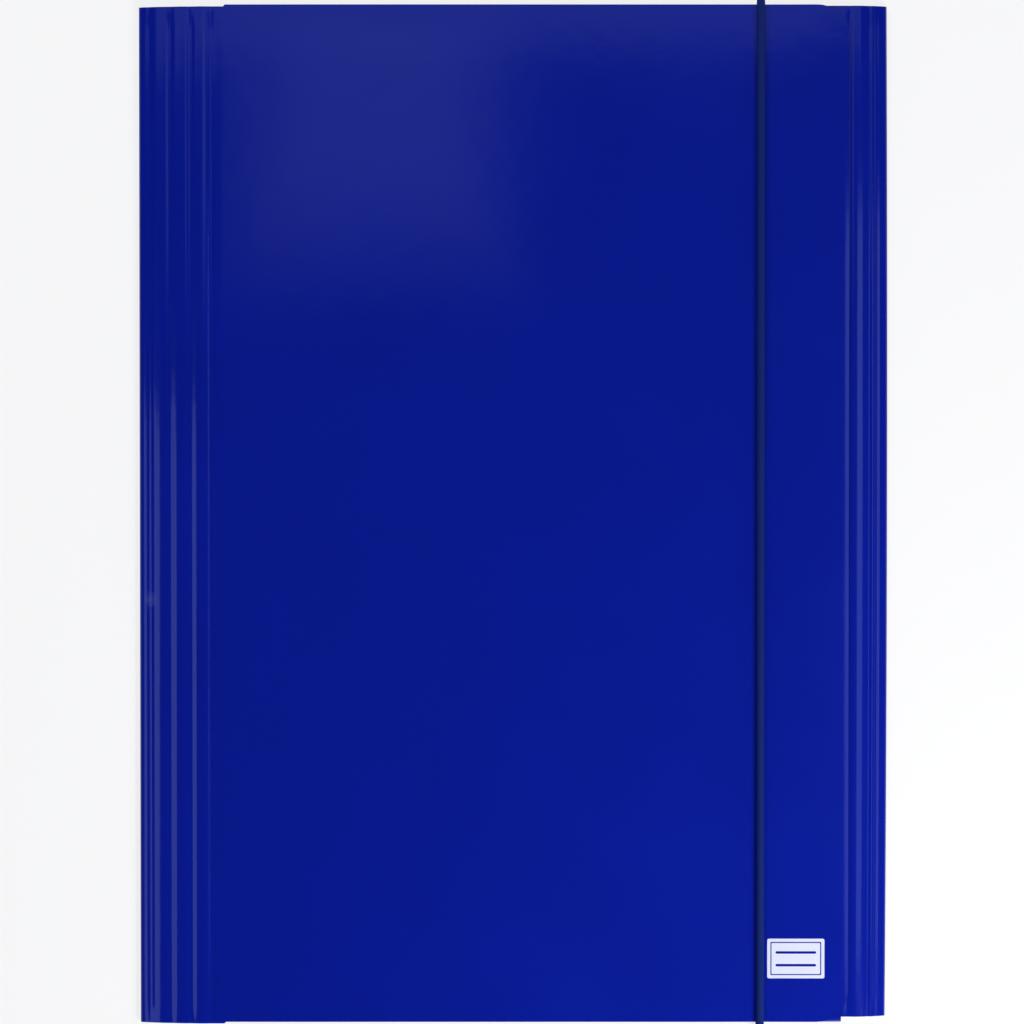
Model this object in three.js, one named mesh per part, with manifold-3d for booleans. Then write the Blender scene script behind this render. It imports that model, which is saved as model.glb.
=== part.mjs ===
// Elastic folder for A4 papers: one creased sheet of laminated card, an elastic cord and its two crossbars.
// Millimetres. The folder lies on its back panel: +X runs from the spine to the fore edge,
// +Y from the tail to the head, and +Z up out of the front cover.
import * as THREE from 'three';
import { mergeVertices } from 'three/addons/utils/BufferGeometryUtils.js';
import Module from 'manifold-3d';

const wasm = await Module();
wasm.setup();

// Closed folder
const WIDTH = 235; // spine fold to fore-edge fold
const HEIGHT = 320; // head fold to tail fold
const CARD = 0.45; // thickness of the laminated card
const LAYER_GAP = 0.3; // air between layers of card that lie on each other
const POCKET = 2.4; // clear height between the back panel and the end flaps
const FOLD_RADIUS = 0.9; // middle of the card at the spine fold and the fore-edge fold
const FOLD_STEPS = 14;
const SPINE_LEAN = 19; // degrees at which the first strip leaves the spine fold
const FORE_LEAN = 22; // and the fore-edge fold

// Pressed creases, measured from the fold next to them
const SPINE_CREASES = [3.4, 10, 16.5, 23];
const FORE_CREASES = [3.5, 5.8, 12.2, 18.6];
const END_CREASES = [6, 12, 18];
const CREASE_WIDTH = 1.7;
const CREASE_DEPTH = 0.2;
const CREASE_STEPS = 6;
const FORE_CLIMB = 12.2; // the fore-edge flap lies level from here on

// Front cover
const COVER_WIDTH = 223; // spine fold to the free edge
const COVER_CORNER = 10; // radius of its two free corners
const CORNER_STEPS = 12;
const COVER_TAIL_STEP = 0.5; // the cover ends this far short of the spine at the tail
const SPINE_HEAD_STEP = 0.6; // the spine ends this far short of the cover at the head

// Fore-edge flap
const FORE_FLAP_DEPTH = 100;
const FORE_FLAP_CHAMFER = 24;
const FORE_TAIL_STEP = 2; // it ends this far short of the back panel at the tail
const FORE_HEAD_STEP = 0.3;

// Head and tail flaps
const END_FLAP_DEPTH = 85;
const END_FLAP_CHAMFER = 18;
const END_FLAP_FROM_SPINE = 27;
const END_FLAP_FROM_FORE_EDGE = 14;

// Elastic cord and its crossbars
const CORD_DIAMETER = 2.4;
const CORD_FROM_SPINE = 195.3;
const CORD_SIDES = 12;
const CORD_BEND_STEPS = 12;
const CORD_RUN_STEPS = 16;
const CORD_CLEARANCE = 0.3; // to the card that it lies on, and to its crossbars
const HOLE_CLEARANCE = 0.4; // round the cord in its punched hole
const HOLE_REACH = 1.3; // height of the hole, against that of the fold that it is punched through
const CROSSBAR_LENGTH = 14;
const CROSSBAR_DIAMETER = 1.6;
const CROSSBAR_CHAMFER = 0.28;
const CROSSBAR_SEAM = 0.25;
const CROSSBAR_SIDES = 20;

// Levels of the middle of each layer of card
const backLevel = CARD / 2;
const endLevel = backLevel + CARD + POCKET;
const foreLevel = endLevel + CARD + LAYER_GAP;
const coverLevel = foreLevel + CARD + LAYER_GAP;
const coverTop = coverLevel + CARD / 2;
const foldTop = backLevel + 2 * FOLD_RADIUS;
const underFore = foreLevel - CARD / 2 - LAYER_GAP / 2;
const underCover = coverLevel - CARD / 2 - LAYER_GAP / 2;

// Places of folds and edges
const spineFold = -WIDTH / 2;
const foreFold = WIDTH / 2;
const endFold = HEIGHT / 2;
const foldReach = FOLD_RADIUS + CARD / 2;
const endRadius = (endLevel - backLevel) / 2;
const endReach = endRadius + CARD / 2;
const coverEdge = spineFold + COVER_WIDTH;
const endFlapLeft = spineFold + END_FLAP_FROM_SPINE;
const endFlapRight = foreFold - END_FLAP_FROM_FORE_EDGE;
const foreFlapEdge = foreFold - FORE_FLAP_DEPTH;
const cordX = spineFold + CORD_FROM_SPINE;

// How far a cutting tool reaches past the card
const OVER = 2;

function solidOf(geometry) {
  const plain = geometry.clone();
  plain.deleteAttribute('normal');
  plain.deleteAttribute('uv');
  const merged = mergeVertices(plain, 1e-5);
  return new wasm.Manifold(new wasm.Mesh({
    numProp: 3,
    vertProperties: new Float32Array(merged.attributes.position.array),
    triVerts: new Uint32Array(merged.index.array),
  }));
}

function geometryOf(solid) {
  const { vertProperties, triVerts } = solid.getMesh();
  const geometry = new THREE.BufferGeometry();
  geometry.setAttribute('position', new THREE.BufferAttribute(vertProperties, 3));
  geometry.setIndex(new THREE.BufferAttribute(triVerts, 1));
  geometry.computeVertexNormals();
  return geometry;
}

// Height of a layer that climbs from its fold to its level, at a distance from the fold
function climb(distance, run, level) {
  const left = Math.max(0, 1 - distance / run);
  return level - (level - foldTop) * left * left;
}

// Points across one crease, from its fold side outwards
function creasePoints(crease, heightAt) {
  return Array.from({ length: CREASE_STEPS + 1 }, (_, step) => {
    const across = step / CREASE_STEPS - 0.5;
    const distance = crease + across * CREASE_WIDTH;
    const dip = CREASE_DEPTH * Math.cos(across * Math.PI) ** 2;
    return { distance, height: heightAt(distance) - dip };
  });
}

// Points of a round fold between two angles about its centre
function foldPoints(centreU, centreV, radius, fromAngle, toAngle) {
  return new THREE.EllipseCurve(centreU, centreV, radius, radius, fromAngle, toAngle).getPoints(FOLD_STEPS);
}

// Outline of card of even thickness along a line of points
function cardOutline(middle) {
  const sides = [[], []];
  middle.forEach((point, i) => {
    const before = middle[Math.max(i - 1, 0)];
    const after = middle[Math.min(i + 1, middle.length - 1)];
    const into = (i > 0 ? point.clone().sub(before) : after.clone().sub(point)).normalize();
    const out = (i < middle.length - 1 ? after.clone().sub(point) : point.clone().sub(before)).normalize();
    const along = into.clone().add(out).normalize();
    const half = CARD / 2 / along.dot(into);
    const across = new THREE.Vector2(-along.y, along.x).multiplyScalar(half);
    sides[0].push(point.clone().add(across));
    sides[1].push(point.clone().sub(across));
  });
  return new THREE.Shape([...sides[0], ...sides[1].reverse()]);
}

// A section in X and Z, drawn out along Y between two places
function alongY(shape, from, to) {
  const geometry = new THREE.ExtrudeGeometry(shape, { depth: to - from, bevelEnabled: false });
  const turn = new THREE.Matrix4().set(1, 0, 0, 0, 0, 0, -1, to, 0, 1, 0, 0, 0, 0, 0, 1);
  return geometry.applyMatrix4(turn);
}

// A section in Y and Z, drawn out along X between two places
function alongX(shape, from, to) {
  const geometry = new THREE.ExtrudeGeometry(shape, { depth: to - from, bevelEnabled: false });
  const turn = new THREE.Matrix4().set(0, 0, 1, from, 1, 0, 0, 0, 0, 1, 0, 0, 0, 0, 0, 1);
  return geometry.applyMatrix4(turn);
}

// A plan in X and Y, raised between two heights
function raised(shape, from, to) {
  const geometry = new THREE.ExtrudeGeometry(shape, { depth: to - from, bevelEnabled: false });
  return solidOf(geometry.translate(0, 0, from));
}

function plan(...corners) {
  return new THREE.Shape(corners.map(([x, y]) => new THREE.Vector2(x, y)));
}

function rectangle(fromX, fromY, toX, toY) {
  return plan([fromX, fromY], [toX, fromY], [toX, toY], [fromX, toY]);
}

// Section from the cover's free edge round the spine, the back panel and the fore edge to its flap
function wrapSection() {
  const spineRun = SPINE_CREASES.at(-1);
  const coverHeight = (distance) => climb(distance, spineRun, coverLevel);
  const foreHeight = (distance) => climb(distance, FORE_CLIMB, foreLevel);
  const spine = SPINE_CREASES.flatMap((crease) => creasePoints(crease, coverHeight))
    .map(({ distance, height }) => new THREE.Vector2(spineFold + distance, height));
  const fore = FORE_CREASES.flatMap((crease) => creasePoints(crease, foreHeight))
    .map(({ distance, height }) => new THREE.Vector2(foreFold - distance, height));
  const foldLevel = backLevel + FOLD_RADIUS;
  const quarter = Math.PI / 2;
  const spineLean = THREE.MathUtils.degToRad(SPINE_LEAN);
  const foreLean = THREE.MathUtils.degToRad(FORE_LEAN);
  return [
    new THREE.Vector2(coverEdge, coverLevel),
    ...spine.reverse(),
    ...foldPoints(spineFold + foldReach, foldLevel, FOLD_RADIUS, quarter + spineLean, 3 * quarter),
    ...foldPoints(foreFold - foldReach, foldLevel, FOLD_RADIUS, -quarter, quarter - foreLean),
    ...fore,
    new THREE.Vector2(foreFlapEdge, foreLevel),
  ];
}

// Section of an end flap: out over the back panel, round the fold and back in.
// Here and below, end is 1 at the head and -1 at the tail.
function endSection(end) {
  const foldLevel = backLevel + endRadius;
  const quarter = Math.PI / 2;
  const level = () => endLevel;
  const creases = END_CREASES.flatMap((crease) => creasePoints(crease, level))
    .map(({ distance, height }) => new THREE.Vector2(endFold - distance, height));
  const middle = [
    new THREE.Vector2(endFold - END_FLAP_DEPTH / 2, backLevel),
    ...foldPoints(endFold - endReach, foldLevel, endRadius, -quarter, quarter),
    ...creases,
    new THREE.Vector2(endFold - END_FLAP_DEPTH, endLevel),
  ];
  if (end > 0) return middle;
  return middle.map((point) => new THREE.Vector2(-point.x, point.y)).reverse();
}

// What is cut from an end flap: tapered sides, and the cord's punched hole in the fold
function endCuts(end) {
  const above = (backLevel + endLevel) / 2;
  const top = endLevel + CARD;
  const flapEdge = end * (endFold - END_FLAP_DEPTH);
  const shoulder = end * (endFold - END_FLAP_DEPTH + END_FLAP_CHAMFER);
  const sides = [[endFlapLeft, -1], [endFlapRight, 1]].map(([side, out]) => raised(plan(
    [side + out * OVER, shoulder],
    [side, shoulder],
    [side - out * END_FLAP_CHAMFER, flapEdge],
    [side - out * END_FLAP_CHAMFER, flapEdge - end * OVER],
    [side + out * OVER, flapEdge - end * OVER],
  ), above, top));
  const hole = new THREE.Shape();
  const holeRadius = CORD_DIAMETER / 2 + HOLE_CLEARANCE;
  hole.absellipse(cordX, backLevel + endRadius, holeRadius, endReach * HOLE_REACH, 0, 2 * Math.PI);
  const wallStart = endFold - endReach + CARD;
  const from = end > 0 ? wallStart : -endFold - OVER;
  const to = end > 0 ? endFold + OVER : -wallStart;
  return [...sides, solidOf(alongY(hole, from, to))];
}

// The corner that is cut away outside a round corner of a plan
function cornerCut(x, y, outX, outY, radius) {
  const shape = new THREE.Shape();
  const centreX = x - outX * radius;
  const centreY = y - outY * radius;
  const round = Array.from({ length: CORNER_STEPS + 1 }, (_, step) => {
    const angle = (step / CORNER_STEPS) * (Math.PI / 2);
    return [centreX + outX * radius * Math.cos(angle), centreY + outY * radius * Math.sin(angle)];
  });
  shape.moveTo(x + outX * OVER, y - outY * radius);
  round.forEach(([pointX, pointY]) => shape.lineTo(pointX, pointY));
  shape.lineTo(x - outX * radius, y + outY * OVER);
  shape.lineTo(x + outX * OVER, y + outY * OVER);
  return shape;
}

// What is cut from the sheet at one end: room for the end fold, and the fore-edge flap's side and chamfer
function wrapCuts(end) {
  const seam = end * (endFold - endReach);
  const past = end * (endFold + OVER);
  const stop = end * (endFold - (end > 0 ? FORE_HEAD_STEP : FORE_TAIL_STEP));
  const chamferStart = end * (endFold - FORE_FLAP_CHAMFER);
  const chamferEnd = foreFlapEdge + FORE_FLAP_CHAMFER;
  const outside = foreFlapEdge - OVER;
  return [
    raised(rectangle(endFlapLeft, seam, endFlapRight, past), -OVER, backLevel + FOLD_RADIUS),
    raised(rectangle(endFlapRight, stop, foreFold + OVER, past), -OVER, underCover),
    raised(rectangle(chamferEnd, stop, endFlapRight + OVER, past), underFore, underCover),
    raised(plan(
      [outside, chamferStart],
      [foreFlapEdge, chamferStart],
      [chamferEnd, stop],
      [chamferEnd, past],
      [outside, past],
    ), underFore, underCover),
  ];
}

// The spine is short at the head and the cover at the tail, and the cover's free corners are round
function coverCuts() {
  const tail = -endFold + COVER_TAIL_STEP;
  const roof = coverTop + OVER;
  return [
    raised(rectangle(spineFold - OVER, endFold - SPINE_HEAD_STEP, endFlapLeft, endFold + OVER), -OVER, roof),
    raised(rectangle(endFlapLeft, -endFold - OVER, coverEdge + OVER, tail), underCover, roof),
    raised(cornerCut(coverEdge, endFold, 1, 1, COVER_CORNER), underCover, roof),
    raised(cornerCut(coverEdge, tail, 1, -1, COVER_CORNER), underCover, roof),
  ];
}

function endFlap(end) {
  const flap = solidOf(alongX(cardOutline(endSection(end)), endFlapLeft, endFlapRight));
  return endCuts(end).reduce((card, cut) => card.subtract(cut), flap);
}

// The sheet: panels, spine and three flaps, die-cut from one blank and folded
function folderCard() {
  const wrap = solidOf(alongY(cardOutline(wrapSection()), -endFold, endFold));
  const cuts = [...wrapCuts(1), ...wrapCuts(-1), ...coverCuts()];
  return cuts.reduce((card, cut) => card.subtract(cut), wrap).add(endFlap(1)).add(endFlap(-1));
}

// The cord's middle line: out of one end fold, over the front cover and into the other
class CordRoute extends THREE.Curve {
  constructor(pieces) {
    super();
    this.pieces = pieces;
    this.steps = pieces.reduce((sum, piece) => sum + piece.steps, 0);
  }

  getPoint(t) {
    let step = t * this.steps;
    let piece = this.pieces[0];
    for (piece of this.pieces) {
      if (step <= piece.steps) break;
      step -= piece.steps;
    }
    return piece.at(Math.min(step / piece.steps, 1));
  }

  getUtoTmapping(u) {
    return u;
  }
}

function elasticCord() {
  const radius = CORD_DIAMETER / 2;
  const foldLevel = backLevel + endRadius;
  const topLevel = coverTop + CORD_CLEARANCE + radius;
  const bendRadius = (topLevel - foldLevel) / 2;
  const bendLevel = foldLevel + bendRadius;
  const tip = crossbarPlace() + CROSSBAR_DIAMETER / 2 + CORD_CLEARANCE;
  const stub = (from, to) => ({
    steps: 1,
    at: (t) => new THREE.Vector3(cordX, from + (to - from) * t, foldLevel),
  });
  const bend = (end, forward) => ({
    steps: CORD_BEND_STEPS,
    at: (t) => {
      const angle = Math.PI * ((forward ? t : 1 - t) - 0.5);
      const y = end * (endFold + bendRadius * Math.cos(angle));
      return new THREE.Vector3(cordX, y, bendLevel + bendRadius * Math.sin(angle));
    },
  });
  const run = {
    steps: CORD_RUN_STEPS,
    at: (t) => new THREE.Vector3(cordX, endFold - HEIGHT * t, topLevel),
  };
  const route = new CordRoute([
    stub(tip, endFold), bend(1, true), run, bend(-1, false), stub(-endFold, -tip),
  ]);
  const section = new THREE.Shape();
  for (let side = 0; side < CORD_SIDES; side++) {
    const angle = (2 * Math.PI * (side + 0.5)) / CORD_SIDES;
    const reach = radius / Math.cos(Math.PI / CORD_SIDES);
    const place = [reach * Math.cos(angle), reach * Math.sin(angle)];
    if (side === 0) section.moveTo(...place);
    else section.lineTo(...place);
  }
  return solidOf(new THREE.ExtrudeGeometry(section, {
    steps: route.steps, extrudePath: route, bevelEnabled: false,
  }));
}

// Distance of a crossbar's axis from the middle of the folder: it bears on the inside of the end fold
function crossbarPlace() {
  return endFold - CARD - LAYER_GAP - CROSSBAR_DIAMETER / 2;
}

// A bar of rolled steel strip, with its seam on the side away from the cord
function crossbar(end) {
  const radius = CROSSBAR_DIAMETER / 2;
  const half = CROSSBAR_LENGTH / 2;
  const profile = [
    [0, -half], [radius - CROSSBAR_CHAMFER, -half], [radius, -half + CROSSBAR_CHAMFER],
    [radius, half - CROSSBAR_CHAMFER], [radius - CROSSBAR_CHAMFER, half], [0, half],
  ].map(([r, h]) => new THREE.Vector2(r, h));
  const bar = new THREE.LatheGeometry(profile, CROSSBAR_SIDES);
  bar.rotateZ(Math.PI / 2);
  bar.translate(cordX, end * crossbarPlace(), backLevel + endRadius);
  const inner = end * (crossbarPlace() - radius);
  const level = backLevel + endRadius;
  const seam = raised(plan(
    [cordX - half - OVER, inner - end * OVER], [cordX + half + OVER, inner - end * OVER],
    [cordX + half + OVER, inner + end * CROSSBAR_SEAM], [cordX - half - OVER, inner + end * CROSSBAR_SEAM],
  ), level - CROSSBAR_SEAM / 2, level + CROSSBAR_SEAM / 2);
  return solidOf(bar).subtract(seam);
}

const laminate = new THREE.MeshStandardMaterial({ color: '#0a1c8c', roughness: 0.32, metalness: 0 });
const elastic = new THREE.MeshStandardMaterial({ color: '#0a1a4e', roughness: 0.8, metalness: 0 });
const steel = new THREE.MeshStandardMaterial({ color: '#b9bcc0', roughness: 0.35, metalness: 1 });

const folder = new THREE.Group();
function addPiece(name, solid, material) {
  const mesh = new THREE.Mesh(geometryOf(solid), material.clone());
  mesh.name = name;
  folder.add(mesh);
}

addPiece('folder_card', folderCard(), laminate);
addPiece('elastic_cord', elasticCord(), elastic);
addPiece('head_crossbar', crossbar(1), steel);
addPiece('tail_crossbar', crossbar(-1), steel);

export default folder;
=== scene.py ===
# Looks of an elastic folder for A4 papers: laminated card, a braided elastic cord and two steel crossbars.
# Metres, in the frame of the solids: +X to the fore edge, +Y to the head, +Z out of the front cover.
import math

import bmesh
import bpy
import numpy as np
from mathutils import Matrix, Vector


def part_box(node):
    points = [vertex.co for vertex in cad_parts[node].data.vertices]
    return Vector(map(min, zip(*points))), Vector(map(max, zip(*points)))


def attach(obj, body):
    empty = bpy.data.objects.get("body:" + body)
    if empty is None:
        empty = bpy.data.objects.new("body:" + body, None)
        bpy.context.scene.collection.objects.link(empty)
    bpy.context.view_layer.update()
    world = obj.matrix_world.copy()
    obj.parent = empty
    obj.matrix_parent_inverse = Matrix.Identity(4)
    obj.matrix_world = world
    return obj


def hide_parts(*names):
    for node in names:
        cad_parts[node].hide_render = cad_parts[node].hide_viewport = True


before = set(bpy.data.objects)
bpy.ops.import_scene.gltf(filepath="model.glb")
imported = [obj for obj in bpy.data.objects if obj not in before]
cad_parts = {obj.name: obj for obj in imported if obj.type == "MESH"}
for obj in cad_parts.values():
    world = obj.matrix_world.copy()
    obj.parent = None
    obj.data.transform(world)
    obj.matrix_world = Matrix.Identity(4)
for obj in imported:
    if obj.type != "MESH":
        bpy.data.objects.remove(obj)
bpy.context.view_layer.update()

MM = 0.001

# The sheet, as its solid has it
CARD = 0.45 * MM
LAYER_GAP = 0.3 * MM
POCKET = 2.4 * MM
FOLD_RADIUS = 0.9 * MM
SPINE_LEAN = math.radians(19)
FORE_LEAN = math.radians(22)
SPINE_CREASES = [3.4 * MM, 10 * MM, 16.5 * MM, 23 * MM]
FORE_CREASES = [3.5 * MM, 5.8 * MM, 12.2 * MM, 18.6 * MM]
FORE_CLIMB = 12.2 * MM
END_CREASES = [6 * MM, 12 * MM, 18 * MM]
CREASE_WIDTH = 1.7 * MM
CREASE_DEPTH = 0.2 * MM
COVER_WIDTH = 223 * MM
COVER_CORNER = 10 * MM
COVER_TAIL_STEP = 0.5 * MM
SPINE_HEAD_STEP = 0.6 * MM
FORE_FLAP_DEPTH = 100 * MM
FORE_FLAP_CHAMFER = 24 * MM
FORE_TAIL_STEP = 2 * MM
FORE_HEAD_STEP = 0.3 * MM
END_FLAP_DEPTH = 85 * MM
END_FLAP_CHAMFER = 18 * MM
END_FLAP_FROM_SPINE = 27 * MM
END_FLAP_FROM_FORE_EDGE = 14 * MM

# Small forms that only the finished sheet has
SPINE_SHOULDER = 1.0 * MM  # the film rounds each side of a crease
FORE_SHOULDER = 0.9 * MM
SPINE_BULGES = [0.08 * MM, 0.1 * MM, 0.16 * MM]  # a strip stands proud between its creases
FORE_BULGES = [0.22 * MM, 0.22 * MM]
FORE_BOW = 0.5 * MM  # the fore edge bows out halfway up
CREASE_FADE = 7 * MM  # creases run out towards the head and the tail
CREASE_END_SHARE = 0.35  # what is left of a crease's depth at the sheet's end
COVER_WAVE = 0.16 * MM  # the front cover isn't quite flat
COVER_WAVES = [  # each wave's share, its lengths along X and Y, and its start
    (1.0, 151 * MM, 390 * MM, 0.6), (0.8, -310 * MM, 187 * MM, 2.1), (0.5, 83 * MM, 120 * MM, 4.0),
]
WAVE_FROM_CREASE = 30 * MM  # the waves grow over this far from the spine's last crease
WAVE_FROM_CORD = 14 * MM  # the cord holds them down this far to each side
CORNER_LIFT = 0.25 * MM  # the cover's free corners stand up a little
CORNER_LIFT_FROM_CORD = 6 * MM
CORNER_LIFT_FROM_END = 40 * MM
EDGE_DROOP = 0.06 * MM  # the cutter presses the cover's free edge down
EDGE_DROOP_WIDTH = 1.7 * MM

# Mesh steps
PANEL_STEP = 5 * MM
CREASE_STEP = 0.25 * MM
FOLD_STEPS = 14
END_ROWS = np.array([0, 0.12, 0.45, 1.0, 1.8, 2.8, 4.0, 5.4, 7.0, 8.6, 10.2, 12.5, 15.5, 19]) * MM
EDGE_COLUMNS = np.array([0.3, 0.8, 1.4, 2.0, 2.6, 4.0, 6.5]) * MM  # from the cover's free edge
SIDE_STEP = 0.3 * MM  # beside a step in the sheet's outline
CORNER_BAND = 1.4  # a round corner draws in the mesh over this many radii
CHAMFER_BAND = 2.0
HOLE_STEP = 0.4 * MM
HOLE_BAND = 2.4 * MM
HOLE_TURN = 0.94 * math.pi / 2  # how far a hole reaches round its fold, from the middle of the fold
SMALLEST_REACH = 0.2  # keeps a rim vertex near the hole's middle from flying off
MERGE_DISTANCE = 0.001 * MM
TOLERANCE = 1e-6  # rounding allowed where places are compared
SHARP_ANGLE = math.radians(40)

# The cord
CORD_SPACING = 0.18 * MM
CORD_SIDES = 24
CORD_STRANDS = 6
CORD_LAY = 5.4 * MM
CORD_RELIEF = 0.13 * MM
CORD_REST = 0.02 * MM
CORD_BEND_POINTS = 25
CORD_RUN_POINTS = 81
HOLE_CLEARANCE = 0.4 * MM

# The printed field on the front cover
PRINT_CENTRE = (89.1 * MM, -139.5 * MM)
PRINT_HALF = (9.0 * MM, 6.25 * MM)
PRINT_CORNER = 0.6 * MM
PRINT_MARGIN = 1.0 * MM
PRINT_LINE = 0.35 * MM
PRINT_RULES = [1.9 * MM, -2.1 * MM]
PRINT_RULE_HALF = (6.4 * MM, 0.4 * MM)
PRINT_EDGE = 0.06 * MM

# A painted reflection on the first spine strip: the pale patch where a small dent catches light
DENT_GLINT_CENTRE = (-113.9 * MM, -26.4 * MM)
DENT_GLINT_HALF = (2.5 * MM, 3.0 * MM)
DENT_GLINT_GRAIN = 1.1 * MM
DENT_GLINT_SHARE = 0.12  # how far the painted reflection pales the colour, and how much roughness it adds

# Real sizes of the finishes
INK_CLOUD = 40 * MM
BOARD_SWELL = 7 * MM
BOARD_RELIEF = 0.02 * MM
PEEL_GRAIN = 0.9 * MM
PEEL_RELIEF = 0.0025 * MM
FILM_ROUGHNESS = (0.085, 0.11)
FIBRE_GRAIN = 0.6 * MM
FIBRE_RELIEF = 0.02 * MM
YARN_GRAIN = 0.12 * MM
YARN_RELIEF = 0.02 * MM
ROLLED_LINE = 0.15 * MM

# The photograph's frame
PIXELS = 1024
PIXELS_PER_MM = 3.185
CAMERA_DISTANCE = 1.0
CAMERA_TILT = math.radians(1.0)
CAMERA_AIM = (-0.22 * MM, 1.05 * MM)
SENSOR = 36.0

# Light and floor
WHITE = (1.0, 1.0, 1.0)
DAYLIGHT = (0.55, 0.72, 1.0)
SKYLIGHT = (0.38, 0.5, 1.0)
WINDOW_SIZE = (0.18, 0.15)
WINDOW_SHARES = [0.7, 0.9, 1.1]  # panels one behind the other give the mirrored window soft sides
WINDOW_X = -0.089
WINDOW_HEAD_SIDE = 0.285
WINDOW_LEVEL = 1.0
WINDOW_GAP = 0.02
WINDOW_AIM = (-0.04, 0.12, 0)
WINDOW_POWER = 0.0138
CEILING_RISE = (0.15, 0.5)  # sines of the angles up between which the walls fade to the ceiling
CEILING_GLOW = 0.02
FLOOR_REACH = 4.0
FLOOR_GAP = 0.02 * MM
FLOOR_WHITE = "#fafafa"
FLOOR_GLOW = 0.8  # the part of the floor that the camera and the film see as plain white

# Levels and places, from the solids' boxes
card_low, card_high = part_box("folder_card")
cord_low, cord_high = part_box("elastic_cord")
spine_fold, fore_fold = card_low.x, card_high.x
head_fold = card_high.y
floor_level = card_low.z
back_level = floor_level + CARD / 2
end_level = back_level + CARD + POCKET
fore_level = end_level + CARD + LAYER_GAP
cover_level = fore_level + CARD + LAYER_GAP
cover_top = cover_level + CARD / 2
fold_reach = FOLD_RADIUS + CARD / 2
end_radius = (end_level - back_level) / 2
end_reach = end_radius + CARD / 2
cover_edge = spine_fold + COVER_WIDTH
flap_left = spine_fold + END_FLAP_FROM_SPINE
flap_right = fore_fold - END_FLAP_FROM_FORE_EDGE
fore_flap_edge = fore_fold - FORE_FLAP_DEPTH
cord_x = (cord_low.x + cord_high.x) / 2
cord_radius = (cord_high.x - cord_low.x) / 2


def srgb(code):
    """Linear colour of an sRGB hex value."""
    parts = [int(code[i : i + 2], 16) / 255 for i in (1, 3, 5)]
    return tuple(c / 12.92 if c <= 0.04045 else ((c + 0.055) / 1.055) ** 2.4 for c in parts) + (1.0,)


def add(tree, kind, inputs=None, **settings):
    """Adds a node with its settings; an input is a value, or the node or output that it is linked to."""
    made = tree.nodes.new(kind)
    for name, value in settings.items():
        setattr(made, name, value)
    for key, value in (inputs or {}).items():
        if isinstance(value, bpy.types.Node):
            value = value.outputs[0]
        if isinstance(value, bpy.types.NodeSocket):
            tree.links.new(value, made.inputs[key])
        else:
            made.inputs[key].default_value = value
    return made


def new_material(name):
    """A material with its node tree and its surface shader."""
    material = bpy.data.materials.new(name)
    material.use_nodes = True
    tree = material.node_tree
    tree.nodes.clear()
    surface = add(tree, "ShaderNodeBsdfPrincipled")
    add(tree, "ShaderNodeOutputMaterial", {"Surface": surface})
    return material, tree, surface


# Outline of the folded sheet

COVER, SPINE_FOLD, BACK, FORE_FOLD, FORE_FLAP = range(5)  # stretches of its section, one after the other


def spread(start, stop, step):
    """Even places from start to stop, none further apart than step."""
    count = max(1, math.ceil(abs(stop - start) / step - TOLERANCE))
    return list(np.linspace(start, stop, count + 1))


def eased(share):
    """A share from 0 to 1 that starts and ends gently."""
    return share * share * (3 - 2 * share)


def crease_places(creases, start, stop):
    """Distances from a fold, close together as far as the creases reach."""
    last = creases[-1] + CREASE_WIDTH
    return np.array(spread(start, last, CREASE_STEP)[:-1] + spread(last, stop, PANEL_STEP))


def dips(distance, creases, shoulder):
    """Depth of the pressed creases at each distance from their fold."""
    total = np.zeros_like(distance)
    for crease in creases:
        across = (distance - crease) / (CREASE_WIDTH + 2 * shoulder)
        total += np.where(np.abs(across) < 0.5, CREASE_DEPTH * np.cos(across * math.pi) ** 2, 0)
    return total


def climb(distance, run, level, lean, first_crease):
    """Height of a layer that climbs from its fold to its level."""
    start = fold_reach - FOLD_RADIUS * math.sin(lean)
    low = back_level + FOLD_RADIUS * (1 + math.cos(lean))
    fold_top = back_level + 2 * FOLD_RADIUS
    bend = first_crease - CREASE_WIDTH / 2

    def curve(place):
        return level - (level - fold_top) * np.clip(1 - place / run, 0, None) ** 2

    straight = low + (distance - start) / (bend - start) * (curve(bend) - low)
    return np.where(distance < bend, straight, curve(distance))


def bulges(distance, creases, heights):
    """How far each strip between two creases stands proud."""
    total = np.zeros_like(distance)
    for first, second, height in zip(creases, creases[1:], heights):
        across = np.clip((distance - first) / (second - first), 0, 1)
        total += height * np.sin(across * math.pi) ** 2
    return total


def fold_arc(centre_x, centre_z, radius, start, stop, steps):
    """Places along an arc, in a plane with Z up."""
    angle = np.linspace(start, stop, steps + 1)
    return centre_x + radius * np.cos(angle), centre_z + radius * np.sin(angle)


def back_places():
    """Places across the back panel, close together at the cord's holes and at the end flaps' sides."""
    hole = spread(cord_x - HOLE_BAND, cord_x + HOLE_BAND, HOLE_STEP)
    return np.array(
        spread(spine_fold + fold_reach, flap_left - SIDE_STEP, PANEL_STEP)
        + spread(flap_left, hole[0], PANEL_STEP)[:-1]
        + hole[:-1]
        + spread(hole[-1], flap_right, PANEL_STEP)
        + spread(flap_right + SIDE_STEP, fore_fold - fold_reach, PANEL_STEP)
    )


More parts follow.
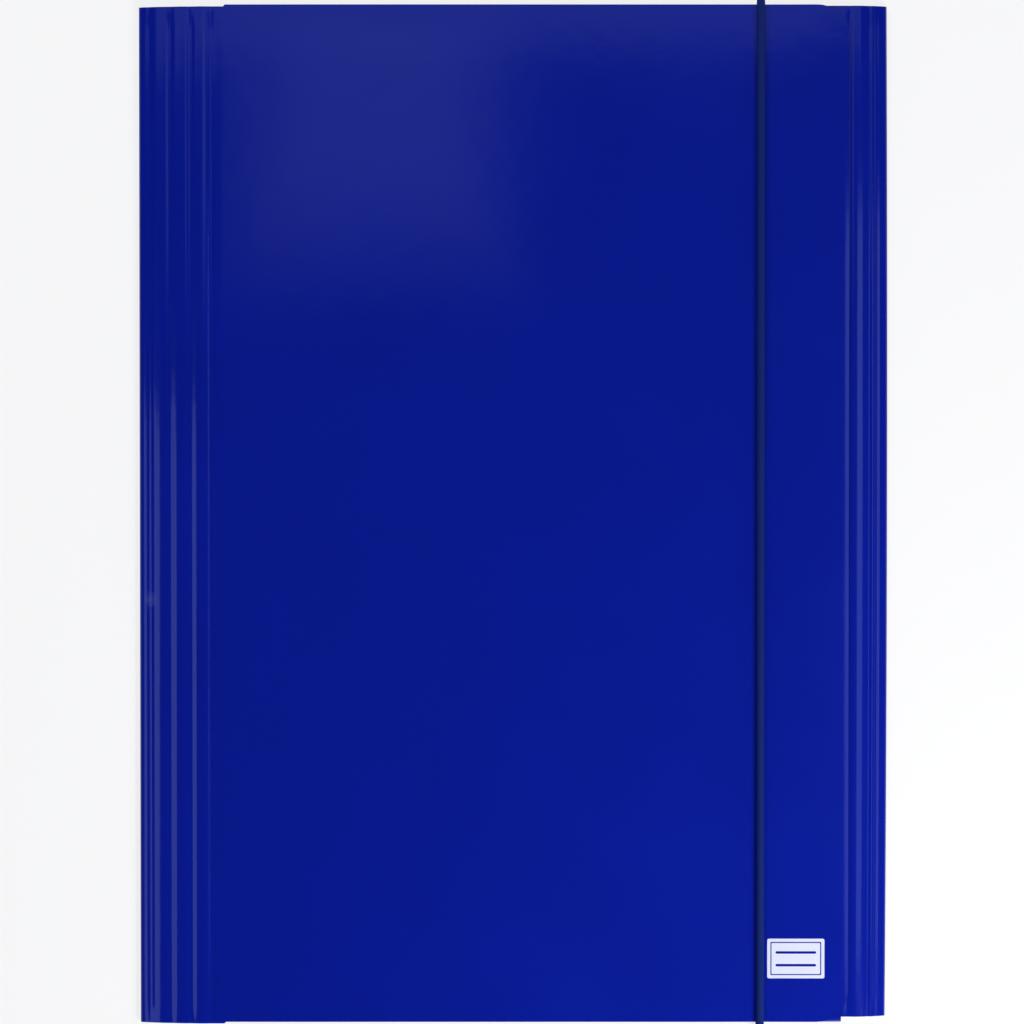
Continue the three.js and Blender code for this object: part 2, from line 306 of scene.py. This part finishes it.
def cover_wave(x, y):
    """Soft waves of the front cover, none at the spine's last crease or under the cord."""
    waves = 0
    for share, along_x, along_y, start in COVER_WAVES:
        waves += share * np.sin(2 * math.pi * (x / along_x + y / along_y) + start)
    highest = sum(wave[0] for wave in COVER_WAVES)
    raised = COVER_WAVE * (1 + waves / highest) / 2
    past_crease = x - spine_fold - SPINE_CREASES[-1] - CREASE_WIDTH
    from_crease = np.clip(past_crease / WAVE_FROM_CREASE, 0, 1)
    from_cord = 1 - np.exp(-(((x - cord_x) / WAVE_FROM_CORD) ** 2))
    corner = np.clip((x - cord_x - CORNER_LIFT_FROM_CORD) / (cover_edge - cord_x), 0, 1)
    end = np.clip((np.abs(y) - head_fold + CORNER_LIFT_FROM_END) / CORNER_LIFT_FROM_END, 0, 1)
    return raised * eased(from_crease) * from_cord + CORNER_LIFT * corner**2 * end**2


def wrap_patch():
    """The sheet from the cover's free edge round the spine, the back and the fore edge to its flap."""
    quarter = math.pi / 2
    fold_level = back_level + FOLD_RADIUS

    up = crease_places(SPINE_CREASES, fold_reach - FOLD_RADIUS * math.sin(SPINE_LEAN), COVER_WIDTH)
    step_places = END_FLAP_FROM_SPINE + np.array([-SIDE_STEP, SIDE_STEP])
    up = np.unique(np.concatenate([up, COVER_WIDTH - EDGE_COLUMNS, step_places]))[::-1]
    up_z = climb(up, SPINE_CREASES[-1], cover_level, SPINE_LEAN, SPINE_CREASES[0])
    up_z = up_z + bulges(up, SPINE_CREASES, SPINE_BULGES)

    spine_x, spine_z = fold_arc(
        spine_fold + fold_reach, fold_level, FOLD_RADIUS, quarter + SPINE_LEAN, 3 * quarter, FOLD_STEPS
    )
    back_x = back_places()
    fore_x, fore_z = fold_arc(
        fore_fold - fold_reach, fold_level, FOLD_RADIUS, -quarter, quarter - FORE_LEAN, FOLD_STEPS
    )
    down = crease_places(FORE_CREASES, fold_reach - FOLD_RADIUS * math.sin(FORE_LEAN), FORE_FLAP_DEPTH)
    down_z = climb(down, FORE_CLIMB, fore_level, FORE_LEAN, FORE_CREASES[0])
    down_z = down_z + bulges(down, FORE_CREASES, FORE_BULGES)

    x = np.concatenate([spine_fold + up, spine_x[1:-1], back_x, fore_x[1:-1], fore_fold - down])
    z = np.concatenate([up_z, spine_z[1:-1], np.full(len(back_x), back_level), fore_z[1:-1], down_z])
    zone = np.concatenate([
        np.full(len(up), COVER), np.full(FOLD_STEPS - 1, SPINE_FOLD), np.full(len(back_x), BACK),
        np.full(FOLD_STEPS - 1, FORE_FOLD), np.full(len(down), FORE_FLAP),
    ])
    groove = np.concatenate([
        dips(up, SPINE_CREASES, SPINE_SHOULDER), np.zeros(FOLD_STEPS - 1), np.zeros(len(back_x)),
        np.zeros(FOLD_STEPS - 1), dips(down, FORE_CREASES, FORE_SHOULDER),
    ])

    head = np.full(len(x), head_fold - SPINE_HEAD_STEP)
    tail = np.full(len(x), -head_fold)
    on_cover = (zone == COVER) & (x > flap_left)
    head[on_cover], tail[on_cover] = head_fold, -head_fold + COVER_TAIL_STEP
    on_flaps = (zone == BACK) & (x > flap_left - TOLERANCE) & (x < flap_right + TOLERANCE)
    head[on_flaps], tail[on_flaps] = head_fold - end_reach, -head_fold + end_reach
    on_fore = (zone >= FORE_FOLD) | ((zone == BACK) & (x > flap_right + TOLERANCE))
    head[on_fore], tail[on_fore] = head_fold - FORE_HEAD_STEP, -head_fold + FORE_TAIL_STEP

    length = 2 * head_fold
    middle = spread(END_ROWS[-1], length - END_ROWS[-1], PANEL_STEP)[1:-1]
    rows = np.concatenate([END_ROWS, middle, length - END_ROWS[::-1]]) / length
    y = tail[None, :] + rows[:, None] * (head - tail)[None, :]
    x = np.repeat(x[None, :], len(rows), axis=0)
    z = np.repeat(z[None, :], len(rows), axis=0)
    zone = np.repeat(zone[None, :], len(rows), axis=0)

    from_end = np.minimum(y - tail[None, :], head[None, :] - y)
    fade = eased(np.clip(from_end / CREASE_FADE, 0, 1))
    z = z - groove[None, :] * (CREASE_END_SHARE + (1 - CREASE_END_SHARE) * fade)

    # Round free corners of the cover
    band = CORNER_BAND * COVER_CORNER
    reach = np.clip(COVER_CORNER - from_end, 0, COVER_CORNER)
    inset = COVER_CORNER - np.sqrt(np.clip(COVER_CORNER**2 - reach**2, 0, None))
    near_edge = (zone == COVER) & (x > cover_edge - band)
    x = np.where(near_edge, cover_edge - band + (x - cover_edge + band) * (band - inset) / band, x)
    pressed = np.where(zone == COVER, np.clip(1 - (cover_edge - x) / EDGE_DROOP_WIDTH, 0, 1), 0)
    z = z - EDGE_DROOP * pressed**2

    # Chamfered corners of the fore-edge flap
    band = CHAMFER_BAND * FORE_FLAP_CHAMFER
    inset = np.clip(FORE_FLAP_CHAMFER - from_end, 0, None)
    near_edge = (zone == FORE_FLAP) & (x < fore_flap_edge + band)
    x = np.where(near_edge, fore_flap_edge + band - (fore_flap_edge + band - x) * (band - inset) / band, x)

    # The fore edge bows out a little
    outwards = np.where(zone >= BACK, np.clip((x - flap_right) / (fore_fold - flap_right), 0, 1), 0)
    x = x + FORE_BOW * outwards * (1 - (y / head_fold) ** 2)

    z = z + np.where(zone == COVER, cover_wave(x, y), 0)
    return np.stack([x, y, z], axis=-1)


def end_patch(end):
    """An end flap from the back panel's edge round its fold; end is 1 at the head and -1 at the tail."""
    across = back_places()
    across = across[(across > flap_left - TOLERANCE) & (across < flap_right + TOLERANCE)]
    angle = np.linspace(-math.pi / 2, math.pi / 2, FOLD_STEPS + 1)
    along = crease_places(END_CREASES, end_reach, END_FLAP_DEPTH)[1:]
    rows, columns = len(angle) + len(along), len(across)
    x = np.repeat(across[None, :], rows, axis=0)
    turn = np.repeat(np.concatenate([angle, np.full(len(along), math.pi / 2)])[:, None], columns, axis=1)

    # The punched hole in the fold: its rim's vertices are set on its outline
    hole_x = cord_radius + HOLE_CLEARANCE
    middle_x = (x[1:, 1:] + x[:-1, :-1]) / 2
    middle_turn = (turn[1:, 1:] + turn[:-1, :-1]) / 2
    kept = ((middle_x - cord_x) / hole_x) ** 2 + (middle_turn / HOLE_TURN) ** 2 > 1
    kept[len(angle) - 1 :, :] = True
    beside = np.zeros((2, rows, columns), bool)
    for row in (0, 1):
        for column in (0, 1):
            part = (slice(row, rows - 1 + row), slice(column, columns - 1 + column))
            beside[0][part] |= kept
            beside[1][part] |= ~kept
    rim = beside[0] & beside[1]
    reach = np.sqrt(((x - cord_x) / hole_x) ** 2 + (turn / HOLE_TURN) ** 2)
    safe = np.where(rim, np.maximum(reach, SMALLEST_REACH), 1)
    x, turn = cord_x + (x - cord_x) / safe, turn / safe

    distance = end_reach - end_radius * np.cos(turn)
    z = back_level + end_radius * (1 + np.sin(turn))
    flat = np.repeat(along[:, None], columns, axis=1)
    distance[len(angle) :, :] = flat
    z[len(angle) :, :] = end_level - dips(flat, END_CREASES, FORE_SHOULDER)

    inset = np.clip(distance - (END_FLAP_DEPTH - END_FLAP_CHAMFER), 0, None)
    share = (x - flap_left) / (flap_right - flap_left)
    x = flap_left + inset + share * (flap_right - flap_left - 2 * inset)
    return np.stack([x, end * (head_fold - distance), z], axis=-1), kept


def add_patch(mesh, points, kept, flip):
    """Adds the faces between a grid of points; kept, if given, says which."""
    rows, columns = points.shape[:2]
    made = [[mesh.verts.new(points[r, c]) for c in range(columns)] for r in range(rows)]
    for r in range(rows - 1):
        for c in range(columns - 1):
            if kept is None or kept[r, c]:
                corners = [made[r][c], made[r + 1][c], made[r + 1][c + 1], made[r][c + 1]]
                mesh.faces.new(corners[::-1] if flip else corners)


def folded_sheet(materials):
    """The whole folded sheet, given its thickness about its middle."""
    mesh = bmesh.new()
    add_patch(mesh, wrap_patch(), None, False)
    for end in (1, -1):
        points, kept = end_patch(end)
        add_patch(mesh, points, kept, end < 0)
    bmesh.ops.remove_doubles(mesh, verts=mesh.verts, dist=MERGE_DISTANCE)
    loose = [v for v in mesh.verts if not v.link_faces]
    bmesh.ops.delete(mesh, geom=loose, context="VERTS")
    data = bpy.data.meshes.new("folder_sheet")
    mesh.to_mesh(data)
    mesh.free()
    piece = bpy.data.objects.new("folder_sheet", data)
    bpy.context.scene.collection.objects.link(piece)
    for material in materials:
        data.materials.append(material)
    wall = piece.modifiers.new("wall", "SOLIDIFY")
    wall.thickness = CARD
    wall.offset = 0
    wall.use_even_offset = True
    wall.use_quality_normals = True
    wall.material_offset = 1
    wall.material_offset_rim = 2
    return made_plain(piece, SHARP_ANGLE)


def made_plain(piece, sharp_angle):
    """Turns a piece's modifiers into its mesh, smooth but for its sharp edges."""
    evaluated = piece.evaluated_get(bpy.context.evaluated_depsgraph_get())
    data = bpy.data.meshes.new_from_object(evaluated)
    piece.modifiers.clear()
    if piece.type != "MESH":
        made = bpy.data.objects.new(piece.name + "_mesh", data)
        bpy.context.scene.collection.objects.link(made)
        bpy.data.objects.remove(piece)
        piece = made
    else:
        piece.data = data
    data.shade_smooth()
    data.set_sharp_from_angle(angle=sharp_angle)
    return piece


# The cord: a braid drawn along its route by geometry nodes


def cord_route():
    """Points from one end of the cord to the other: round the head, down the front and round the tail."""
    fold_level = back_level + end_radius
    top_level = cover_top + CORD_REST + cord_radius
    bend_radius = (top_level - fold_level) / 2
    bend_level = fold_level + bend_radius
    tip = cord_tip()
    half = math.pi / 2
    bend = list(zip(*fold_arc(head_fold, bend_level, bend_radius, -half, half, CORD_BEND_POINTS - 1)))
    run = [(y, top_level) for y in np.linspace(head_fold, -head_fold, CORD_RUN_POINTS)[1:-1]]
    tail = [(-y, z) for y, z in reversed(bend)]
    return [(cord_x, y, z) for y, z in [(tip, fold_level), *bend, *run, *tail, (-tip, fold_level)]]


def cord_tip():
    """Where the cord's end meets its crossbar, inside the head fold."""
    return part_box("head_crossbar")[1].y + LAYER_GAP


def braid_tree():
    """Geometry nodes that draw a braided cord along a curve."""
    tree = bpy.data.node_groups.new("braided_cord", "GeometryNodeTree")
    wanted = [
        ("Spacing", "NodeSocketFloat"), ("Radius", "NodeSocketFloat"), ("Sides", "NodeSocketInt"),
        ("Strands", "NodeSocketFloat"), ("Lay", "NodeSocketFloat"), ("Relief", "NodeSocketFloat"),
        ("Material", "NodeSocketMaterial"),
    ]
    tree.interface.new_socket("Geometry", in_out="INPUT", socket_type="NodeSocketGeometry")
    for name, kind in wanted:
        tree.interface.new_socket(name, in_out="INPUT", socket_type=kind)
    tree.interface.new_socket("Geometry", in_out="OUTPUT", socket_type="NodeSocketGeometry")
    given = add(tree, "NodeGroupInput").outputs

    path = add(tree, "GeometryNodeResampleCurve", {
        "Curve": given["Geometry"], "Length": given["Spacing"],
    }, mode="LENGTH")
    reached = add(tree, "GeometryNodeSplineParameter").outputs["Length"]
    along = add(tree, "GeometryNodeStoreNamedAttribute", {
        "Geometry": path, "Name": "along", "Value": reached,
    }, data_type="FLOAT", domain="POINT")
    ring = add(tree, "GeometryNodeCurvePrimitiveCircle", {
        "Resolution": given["Sides"], "Radius": given["Radius"],
    })
    turned = add(tree, "GeometryNodeSplineParameter").outputs["Factor"]
    around = add(tree, "GeometryNodeStoreNamedAttribute", {
        "Geometry": ring, "Name": "around", "Value": turned,
    }, data_type="FLOAT", domain="POINT")
    tube = add(tree, "GeometryNodeCurveToMesh", {"Curve": along, "Profile Curve": around, "Fill Caps": True})

    # Two sets of strands that wind opposite ways; where both are high, the braid is at its crown
    read_along = add(tree, "GeometryNodeInputNamedAttribute", {"Name": "along"}, data_type="FLOAT")
    read_around = add(tree, "GeometryNodeInputNamedAttribute", {"Name": "around"}, data_type="FLOAT")
    turns = add(tree, "ShaderNodeMath", {0: read_around, 1: given["Strands"]}, operation="MULTIPLY")
    lays = add(tree, "ShaderNodeMath", {0: read_along, 1: given["Lay"]}, operation="DIVIDE")
    steps = add(tree, "ShaderNodeMath", {0: lays, 1: given["Strands"]}, operation="MULTIPLY")
    humps = []
    for operation in ("ADD", "SUBTRACT"):
        way = add(tree, "ShaderNodeMath", {0: turns, 1: steps}, operation=operation)
        phase = add(tree, "ShaderNodeMath", {0: way, 1: math.pi}, operation="MULTIPLY")
        wave = add(tree, "ShaderNodeMath", {0: phase}, operation="SINE")
        humps.append(add(tree, "ShaderNodeMath", {0: wave}, operation="ABSOLUTE"))
    crown = add(tree, "ShaderNodeMath", {0: humps[0], 1: humps[1]}, operation="MULTIPLY")
    marked = add(tree, "GeometryNodeStoreNamedAttribute", {
        "Geometry": tube, "Name": "crown", "Value": crown,
    }, data_type="FLOAT", domain="POINT")
    round_crown = add(tree, "ShaderNodeMath", {0: crown, 1: 0.5}, operation="POWER")
    below = add(tree, "ShaderNodeMath", {0: round_crown, 1: 1.0}, operation="SUBTRACT")
    relief = add(tree, "ShaderNodeMath", {0: below, 1: given["Relief"]}, operation="MULTIPLY")
    outwards = add(tree, "GeometryNodeInputNormal")
    offset = add(tree, "ShaderNodeVectorMath", {0: outwards, "Scale": relief}, operation="SCALE")
    woven = add(tree, "GeometryNodeSetPosition", {"Geometry": marked, "Offset": offset})
    whole = add(tree, "GeometryNodeRealizeInstances", {"Geometry": woven})
    dressed = add(tree, "GeometryNodeSetMaterial", {"Geometry": whole, "Material": given["Material"]})
    add(tree, "NodeGroupOutput", {"Geometry": dressed})
    return tree


def braided_cord(material):
    """The braid along the cord's route, as a plain mesh."""
    curve = bpy.data.curves.new("cord_route", "CURVE")
    curve.dimensions = "3D"
    points = cord_route()
    spline = curve.splines.new("POLY")
    spline.points.add(len(points) - 1)
    for point, place in zip(spline.points, points):
        point.co = (*place, 1)
    piece = bpy.data.objects.new("braided_elastic", curve)
    bpy.context.scene.collection.objects.link(piece)
    weave = piece.modifiers.new("braid", "NODES")
    weave.node_group = braid_tree()
    values = {
        "Spacing": CORD_SPACING, "Radius": cord_radius, "Sides": CORD_SIDES, "Strands": float(CORD_STRANDS),
        "Lay": CORD_LAY, "Relief": CORD_RELIEF, "Material": material,
    }
    for item in weave.node_group.interface.items_tree:
        if item.in_out == "INPUT" and item.name in values:
            weave[item.identifier] = values[item.name]
    return made_plain(piece, math.pi)


# Materials


def box_mask(tree, flat, centre, half, corner):
    """1 inside a rectangle with round corners, 0 outside."""
    moved = add(tree, "ShaderNodeVectorMath", {0: flat, 1: (*centre, 0)}, operation="SUBTRACT")
    away = add(tree, "ShaderNodeVectorMath", {0: moved}, operation="ABSOLUTE")
    straight = (half[0] - corner, half[1] - corner, 0)
    past = add(tree, "ShaderNodeVectorMath", {0: away, 1: straight}, operation="SUBTRACT")
    outside = add(tree, "ShaderNodeVectorMath", {0: past, 1: (0, 0, 0)}, operation="MAXIMUM")
    distance = add(tree, "ShaderNodeVectorMath", {0: outside}, operation="LENGTH").outputs["Value"]
    return add(tree, "ShaderNodeMapRange", {
        "Value": distance, "From Min": corner - PRINT_EDGE, "From Max": corner + PRINT_EDGE,
        "To Min": 1.0, "To Max": 0.0,
    })


def print_mask(tree, flat, height):
    """The printed field: a white rectangle with a blue inner line and two blue rules, on the cover alone."""
    outer = [reach - PRINT_MARGIN for reach in PRINT_HALF]
    inner = [reach - PRINT_LINE for reach in outer]
    field = box_mask(tree, flat, PRINT_CENTRE, PRINT_HALF, PRINT_CORNER)
    marks = add(tree, "ShaderNodeMath", {
        0: box_mask(tree, flat, PRINT_CENTRE, outer, PRINT_LINE),
        1: box_mask(tree, flat, PRINT_CENTRE, inner, PRINT_LINE),
    }, operation="SUBTRACT")
    for rise in PRINT_RULES:
        place = (PRINT_CENTRE[0], PRINT_CENTRE[1] + rise)
        rule = box_mask(tree, flat, place, PRINT_RULE_HALF, PRINT_RULE_HALF[1])
        marks = add(tree, "ShaderNodeMath", {0: marks, 1: rule}, operation="MAXIMUM")
    white = add(tree, "ShaderNodeMath", {0: field, 1: marks}, operation="SUBTRACT")
    on_cover = add(tree, "ShaderNodeMath", {0: height, 1: cover_level}, operation="GREATER_THAN")
    return add(tree, "ShaderNodeMath", {0: white, 1: on_cover}, operation="MULTIPLY")


def dent_glint_mask(tree, place, flat, height):
    """Painted reflection of a small dent in the first spine strip: a soft pale patch with a ragged edge."""
    moved = add(tree, "ShaderNodeVectorMath", {0: flat, 1: (*DENT_GLINT_CENTRE, 0)}, operation="SUBTRACT")
    scaled = add(tree, "ShaderNodeVectorMath", {0: moved, 1: (*DENT_GLINT_HALF, 1)}, operation="DIVIDE")
    distance = add(tree, "ShaderNodeVectorMath", {0: scaled}, operation="LENGTH").outputs["Value"]
    ragged = add(tree, "ShaderNodeTexNoise", {"Vector": place, "Scale": 1 / DENT_GLINT_GRAIN, "Detail": 4.0})
    edge = add(tree, "ShaderNodeMath", {0: distance, 1: ragged}, operation="ADD")
    painted_glint = add(tree, "ShaderNodeMapRange", {
        "Value": edge, "From Min": 0.7, "From Max": 1.5, "To Min": DENT_GLINT_SHARE, "To Max": 0.0,
    })
    above = add(tree, "ShaderNodeMath", {0: height, 1: back_level + FOLD_RADIUS}, operation="GREATER_THAN")
    return add(tree, "ShaderNodeMath", {0: painted_glint, 1: above}, operation="MULTIPLY")


def laminated_card():
    """Printed card under glossy polypropylene film: deep blue, with clear soft-edged reflections."""
    material, tree, surface = new_material("glossy_laminated_blue_card")
    place = add(tree, "ShaderNodeTexCoord").outputs["Object"]
    height = add(tree, "ShaderNodeSeparateXYZ", {0: place}).outputs[2]
    flat = add(tree, "ShaderNodeVectorMath", {0: place, 1: (1, 1, 0)}, operation="MULTIPLY")

    # Uneven ink, in clouds
    cloud = add(tree, "ShaderNodeTexNoise", {"Vector": place, "Scale": 1 / INK_CLOUD, "Detail": 3.0})
    ink = add(tree, "ShaderNodeMix", {
        0: cloud, 6: srgb("#071885"), 7: srgb("#071a90"),
    }, data_type="RGBA").outputs[2]
    printed = add(tree, "ShaderNodeMix", {
        0: print_mask(tree, flat, height), 6: ink, 7: srgb("#d3d6ec"),
    }, data_type="RGBA").outputs[2]
    # Painted reflection: a pale patch where a small dent in the first spine strip catches light
    dent_glint = dent_glint_mask(tree, place, flat, height)
    colour = add(tree, "ShaderNodeMix", {
        0: dent_glint, 6: printed, 7: srgb("#7f86b8"),
    }, data_type="RGBA").outputs[2]

    # Orange peel of the film, and a slow unevenness of the board under it
    board = add(tree, "ShaderNodeTexNoise", {"Vector": place, "Scale": 1 / BOARD_SWELL, "Detail": 2.0})
    slow = add(tree, "ShaderNodeBump", {"Height": board, "Strength": 1.0, "Distance": BOARD_RELIEF})
    peel = add(tree, "ShaderNodeTexNoise", {"Vector": place, "Scale": 1 / PEEL_GRAIN, "Detail": 2.0})
    fine = add(tree, "ShaderNodeBump", {
        "Height": peel, "Strength": 1.0, "Distance": PEEL_RELIEF, "Normal": slow,
    })

    # The film is a little less glossy where clouds lie, and matt on the patch of painted reflection
    film = add(tree, "ShaderNodeMapRange", {
        "Value": cloud, "From Min": 0.3, "From Max": 0.7,
        "To Min": FILM_ROUGHNESS[0], "To Max": FILM_ROUGHNESS[1],
    })
    roughness = add(tree, "ShaderNodeMath", {0: dent_glint, 1: film}, operation="ADD")
    tree.links.new(colour, surface.inputs["Base Color"])
    tree.links.new(roughness.outputs[0], surface.inputs["Roughness"])
    tree.links.new(fine.outputs[0], surface.inputs["Normal"])
    surface.inputs["IOR"].default_value = 1.49
    return material


def bare_board(name, light, dark):
    """Uncoated grey-white board: matt, with short fibres."""
    material, tree, surface = new_material(name)
    place = add(tree, "ShaderNodeTexCoord").outputs["Object"]
    stretched = add(tree, "ShaderNodeMapping", {"Vector": place, "Scale": (1.0, 0.35, 1.0)})
    fibre = add(tree, "ShaderNodeTexNoise", {"Vector": stretched, "Scale": 1 / FIBRE_GRAIN, "Detail": 4.0})
    colour = add(tree, "ShaderNodeMix", {
        0: fibre, 6: srgb(light), 7: srgb(dark),
    }, data_type="RGBA").outputs[2]
    tooth = add(tree, "ShaderNodeBump", {"Height": fibre, "Strength": 0.6, "Distance": FIBRE_RELIEF})
    tree.links.new(colour, surface.inputs["Base Color"])
    tree.links.new(tooth.outputs[0], surface.inputs["Normal"])
    surface.inputs["Roughness"].default_value = 0.9
    return material


def elastic_braid():
    """Polyester yarn braided over rubber threads: dark navy and matt, with painted shade that darkens it
    between the strands.
    """
    material, tree, surface = new_material("braided_polyester_elastic")
    crown = add(tree, "ShaderNodeAttribute", attribute_name="crown").outputs["Fac"]
    # Painted shade: the navy darkens where the braid's crown is low, in the hollows between the strands
    colour = add(tree, "ShaderNodeMix", {
        0: crown, 6: srgb("#040f48"), 7: srgb("#113080"),
    }, data_type="RGBA").outputs[2]
    place = add(tree, "ShaderNodeTexCoord").outputs["Object"]
    yarn = add(tree, "ShaderNodeTexNoise", {"Vector": place, "Scale": 1 / YARN_GRAIN, "Detail": 2.0})
    fuzz = add(tree, "ShaderNodeBump", {"Height": yarn, "Strength": 0.5, "Distance": YARN_RELIEF})
    tree.links.new(colour, surface.inputs["Base Color"])
    tree.links.new(fuzz.outputs[0], surface.inputs["Normal"])
    surface.inputs["Roughness"].default_value = 0.85
    surface.inputs["Specular IOR Level"].default_value = 0.12
    return material


def rolled_steel():
    """Zinc-plated steel strip, rolled: bright, with fine lines along the bar."""
    material, tree, surface = new_material("rolled_zinc_plated_steel")
    place = add(tree, "ShaderNodeTexCoord").outputs["Object"]
    stretched = add(tree, "ShaderNodeMapping", {"Vector": place, "Scale": (0.05, 1.0, 1.0)})
    lines = add(tree, "ShaderNodeTexNoise", {"Vector": stretched, "Scale": 1 / ROLLED_LINE, "Detail": 3.0})
    colour = add(tree, "ShaderNodeMix", {
        0: lines, 6: srgb("#a4a8ad"), 7: srgb("#c9ccd0"),
    }, data_type="RGBA").outputs[2]
    roughness = add(tree, "ShaderNodeMapRange", {"Value": lines, "To Min": 0.25, "To Max": 0.45})
    tree.links.new(colour, surface.inputs["Base Color"])
    tree.links.new(roughness.outputs[0], surface.inputs["Roughness"])
    surface.inputs["Metallic"].default_value = 1.0
    return material


# Camera, floor and light


def photograph_camera():
    """Sees the folder in the photograph's place and at its scale."""
    data = bpy.data.cameras.new("camera")
    width = PIXELS / PIXELS_PER_MM * MM
    data.sensor_width = SENSOR
    data.lens = SENSOR * CAMERA_DISTANCE / width
    camera = bpy.data.objects.new("camera", data)
    bpy.context.scene.collection.objects.link(camera)
    back = Vector((0, math.sin(CAMERA_TILT), math.cos(CAMERA_TILT)))
    camera.location = Vector((*CAMERA_AIM, cover_top)) + back * CAMERA_DISTANCE
    camera.rotation_euler = (-CAMERA_TILT, 0, 0)
    bpy.context.scene.camera = camera


def pale_floor():
    """White paper under the folder, for the picture alone."""
    data = bpy.data.meshes.new("floor")
    level = floor_level - FLOOR_GAP
    corners = [(x * FLOOR_REACH, y * FLOOR_REACH, level) for x, y in ((-1, -1), (1, -1), (1, 1), (-1, 1))]
    data.from_pydata(corners, [], [(0, 1, 2, 3)])
    floor = bpy.data.objects.new("floor", data)
    bpy.context.scene.collection.objects.link(floor)
    material, tree, surface = new_material("white_paper_sweep")
    output = surface.outputs["BSDF"].links[0].to_node
    surface.inputs["Base Color"].default_value = srgb(FLOOR_WHITE)
    surface.inputs["Roughness"].default_value = 1.0
    surface.inputs["Specular IOR Level"].default_value = 0.0
    # The camera and the film see the paper partly as plain white, so that shadows on it stay faint
    ray = add(tree, "ShaderNodeLightPath").outputs
    seen = add(tree, "ShaderNodeMath", {
        0: ray["Is Camera Ray"], 1: ray["Is Glossy Ray"],
    }, operation="MAXIMUM")
    seen = add(tree, "ShaderNodeMath", {0: seen, 1: ray["Is Transmission Ray"]}, operation="MAXIMUM")
    share = add(tree, "ShaderNodeMath", {0: seen, 1: FLOOR_GLOW}, operation="MULTIPLY")
    white = add(tree, "ShaderNodeEmission", {"Color": srgb(FLOOR_WHITE), "Strength": 1.0})
    paper = add(tree, "ShaderNodeMixShader", {0: share, 1: surface, 2: white})
    tree.links.new(paper.outputs[0], output.inputs["Surface"])
    data.materials.append(material)


def panel_light(name, place, aim, size, power, colour=WHITE):
    """A soft rectangle of light; size is its width along X and its length."""
    data = bpy.data.lights.new(name, "AREA")
    data.shape = "RECTANGLE"
    data.size, data.size_y = size
    data.energy = power
    data.color = colour
    lamp = bpy.data.objects.new(name, data)
    bpy.context.scene.collection.objects.link(lamp)
    away = (Vector(place) - Vector(aim)).normalized()
    up = away.cross(Vector((1, 0, 0))).normalized()
    turn = Matrix((up.cross(away), up, away)).transposed().to_4x4()
    lamp.matrix_world = Matrix.Translation(place) @ turn


def studio_world():
    """White studio walls that fade to a dark ceiling, so that the film mirrors little from above."""
    world = bpy.data.worlds.new("studio")
    world.use_nodes = True
    tree = world.node_tree
    tree.nodes.clear()
    direction = add(tree, "ShaderNodeTexCoord").outputs["Generated"]
    up = add(tree, "ShaderNodeSeparateXYZ", {0: direction}).outputs[2]
    strength = add(tree, "ShaderNodeMapRange", {
        "Value": up, "From Min": CEILING_RISE[0], "From Max": CEILING_RISE[1],
        "To Min": 1.0, "To Max": CEILING_GLOW,
    })
    sky = add(tree, "ShaderNodeBackground", {"Color": (1, 1, 1, 1), "Strength": strength})
    add(tree, "ShaderNodeOutputWorld", {"Surface": sky})
    bpy.context.scene.world = world


def studio_lights():
    """Lamps that light the folder, and weak panels that its film mirrors."""
    # Beyond the tail and the head, high enough that low views don't mirror them in the cover
    panel_light("key", (0.32, -0.4, 0.4), (0, 0, 0), (0.22, 0.24), 3.55)
    panel_light("fill", (-0.35, 1.0, 0.7), (0, 0, 0), (0.6, 0.4), 7.8)
    # Above the cover: a window, and a band beyond the head, the spine and the fore edge
    for share in WINDOW_SHARES:
        size = (WINDOW_SIZE[0] * share, WINDOW_SIZE[1] * share)
        place = (WINDOW_X, WINDOW_HEAD_SIDE - size[1] / 2, WINDOW_LEVEL + WINDOW_GAP * share)
        panel_light("window", place, WINDOW_AIM, size, WINDOW_POWER * share**2, DAYLIGHT)
    panel_light("head_band", (-0.05, 0.385, 1.0), (0, 0.16, 0), (1.2, 0.22), 0.4, DAYLIGHT)
    panel_light("spine_band", (-0.78, -0.173, 1.0), (-0.1, -0.04, 0), (0.36, 0.46), 0.82, SKYLIGHT)
    panel_light("fore_band", (0.438, -0.063, 1.0), (0.11, -0.005, 0), (0.37, 0.49), 0.85, SKYLIGHT)


bpy.context.scene.view_settings.view_transform = "Standard"
photograph_camera()
pale_floor()
studio_world()
studio_lights()

sheet = folded_sheet([
    laminated_card(),
    bare_board("uncoated_board_inside", "#d6d6d2", "#c4c4c0"),
    bare_board("cut_board_edge", "#9aa0c0", "#7d84ac"),
])
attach(sheet, "root")
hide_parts("folder_card")

cord = braided_cord(elastic_braid())
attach(cord, "root")
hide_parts("elastic_cord")

steel = rolled_steel()
for name in ("head_crossbar", "tail_crossbar"):
    bar = bpy.data.objects[name]
    bar.data.materials.clear()
    bar.data.materials.append(steel)
